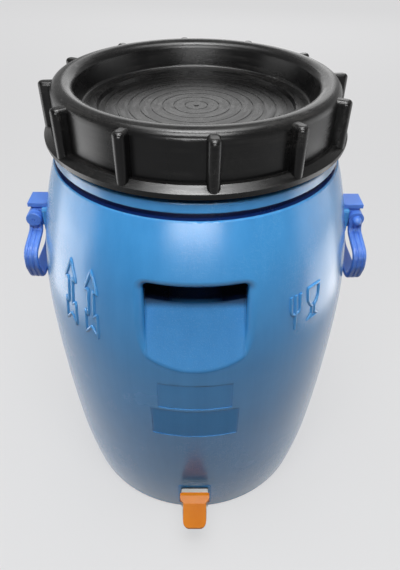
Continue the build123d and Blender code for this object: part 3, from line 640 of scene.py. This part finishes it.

# return spring of the tap
springLook = {
    "wire": 0.0006,  # radius of the wire
    "turns": 3,
    "steps": 24,
    "sides": 12,
    "lift": 0.0049,  # how far the stem rises
    "join": 0.00001,
    "smooth": 40,  # degrees
}
springLow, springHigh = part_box("return_spring")
springHeight = springHigh.z - springLow.z
springReach = (springHigh.x - springLow.x) / 2 - springLook["wire"]
springMiddle = (springLow.y + springHigh.y) / 2
deselectAll()
bpy.ops.mesh.primitive_circle_add(
    vertices=springLook["sides"], radius=springLook["wire"],
    location=(springReach, 0.0, 0.0), rotation=(math.pi / 2, 0.0, 0.0),
)
spring = bpy.context.object
spring.name = "returnSpring"
bpy.ops.object.transform_apply(location=True, rotation=True, scale=True)
wind = spring.modifiers.new("wind", "SCREW")
wind.axis = "Z"
wind.angle = 2 * math.pi
wind.iterations = springLook["turns"]
wind.screw_offset = (springHeight - 2 * springLook["wire"]) / springLook["turns"]
wind.steps = springLook["steps"]
wind.render_steps = springLook["steps"]
bpy.ops.object.modifier_apply(modifier="wind")
bpy.ops.object.mode_set(mode="EDIT")
bpy.ops.mesh.select_all(action="SELECT")
bpy.ops.mesh.remove_doubles(threshold=springLook["join"])
bpy.ops.mesh.fill_holes(sides=0)  # the wire's two ends
bpy.ops.mesh.normals_make_consistent(inside=False)
bpy.ops.transform.translate(value=(0.0, springMiddle, springLow.z + springLook["wire"]))
bpy.ops.object.mode_set(mode="OBJECT")
bpy.ops.object.shade_smooth_by_angle(angle=math.radians(springLook["smooth"]))
spring.data.materials.clear()
spring.data.materials.append(finishes[nodeFinish["return_spring"]])
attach(spring, "drum")
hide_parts("return_spring")
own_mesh(spring)
print("spring made", len(spring.data.polygons), "faces,", round(springHeight, 5), "high")

# raised outline marks moulded into the drum's shoulder: two up arrows, a fork and a goblet
markLook = {
    "rib": 0.0022,
    "round": 2,
    "sink": 0.0003,
    "standOff": 0.004,
    "step": 6,
    "seed": 0.001,
    "close": 0.00005,
    "join": 0.00002,
    "smooth": 50,  # degrees
    "sight": Vector((-0.4, -0.25, 0.0)),  # looks at the plain wall from here
}
# strokes are across and up in millimetres, angles are degrees round the drum from the front
arrowMark = {
    "angles": (-46.5, -36.2),
    "bottom": 0.360,
    "strokes": [
        [(0, 84), (9.5, 59), (4, 60.5), (4, 27), (9, 31), (9.5, 0), (0, 12),
         (-9.5, 0), (-9, 31), (-4, 27), (-4, 60.5), (-9.5, 59), (0, 84)],
    ],
}
forkMark = {
    "angles": (34.5,),
    "bottom": 0.372,
    "strokes": [
        [(-7, 45.5), (-7, 27), (-5.5, 22.5), (0, 20), (5.5, 22.5), (7, 27), (7, 45.5)],
        [(0, 45.5), (0, 0)],
    ],
}
gobletMark = {
    "angles": (43.0,),
    "bottom": 0.375,
    "strokes": [
        [(-10, 43), (10, 43), (9.4, 27), (6, 20), (2.6, 17), (2.6, 6), (9, 0),
         (-9, 0), (-2.6, 6), (-2.6, 17), (-6, 20), (-9.4, 27), (-10, 43)],
    ],
}


def wallRadius(height):  # how far the wall is from the axis at this height
    start = markLook["sight"] + Vector((0, 0, height))
    hit, spot, facing, face = nodes["drum_body"].ray_cast(start, -markLook["sight"].normalized())
    return math.hypot(spot.x, spot.y)


def markPoint(angle, bottom, side, up):  # a stroke's point, a little outside the wall
    turn = math.radians(angle)
    height = bottom + up / 1000
    outward = Vector((math.sin(turn), -math.cos(turn), 0)) * (wallRadius(height) + markLook["standOff"])
    sideStep = Vector((math.cos(turn), math.sin(turn), 0)) * (side / 1000)
    return outward + sideStep + Vector((0, 0, height))


def makeMark(name, strokes, angle, bottom):
    deselectAll()
    bpy.ops.mesh.primitive_plane_add(size=markLook["seed"])
    mark = bpy.context.object
    mark.name = name
    bpy.ops.object.mode_set(mode="EDIT")
    bpy.ops.mesh.delete(type="VERT")
    for stroke in strokes:
        points = [markPoint(angle, bottom, side, up) for side, up in stroke]
        bpy.ops.mesh.select_all(action="DESELECT")
        bpy.ops.mesh.primitive_plane_add(size=markLook["seed"])
        bpy.ops.mesh.merge(type="CENTER")
        bpy.ops.transform.translate(value=points[0])
        for start, end in zip(points, points[1:]):
            bpy.ops.mesh.extrude_region_move(TRANSFORM_OT_translate={"value": end - start})
    bpy.ops.mesh.select_all(action="SELECT")
    bpy.ops.mesh.remove_doubles(threshold=markLook["close"])  # closes the outline
    bpy.ops.mesh.subdivide(number_cuts=markLook["step"])
    bpy.ops.object.mode_set(mode="OBJECT")
    wrap = mark.modifiers.new("ontoWall", "SHRINKWRAP")
    wrap.target = nodes["drum_body"]
    wrap.wrap_method = "NEAREST_SURFACEPOINT"
    wrap.wrap_mode = "ABOVE_SURFACE"
    wrap.offset = -markLook["sink"]
    bpy.ops.object.modifier_apply(modifier="ontoWall")
    bpy.ops.object.convert(target="CURVE")
    mark = bpy.context.object
    mark.data.bevel_depth = markLook["rib"]
    mark.data.bevel_resolution = markLook["round"]
    mark.data.use_fill_caps = True
    bpy.ops.object.convert(target="MESH")
    mark = bpy.context.object
    bpy.ops.object.mode_set(mode="EDIT")
    bpy.ops.mesh.select_all(action="SELECT")
    bpy.ops.mesh.remove_doubles(threshold=markLook["join"])
    bpy.ops.mesh.normals_make_consistent(inside=False)
    bpy.ops.object.mode_set(mode="OBJECT")
    bpy.ops.object.shade_smooth_by_angle(angle=math.radians(markLook["smooth"]))
    mark.data.materials.clear()
    mark.data.materials.append(drumPlastic)
    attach(mark, "drum")
    return mark


for label, mark in (("upArrow", arrowMark), ("fork", forkMark), ("goblet", gobletMark)):
    for number, angle in enumerate(mark["angles"]):
        made = makeMark(label + "Mark" + str(number + 1), mark["strokes"], angle, mark["bottom"])
        print("mark", made.name, len(made.data.polygons), "faces")
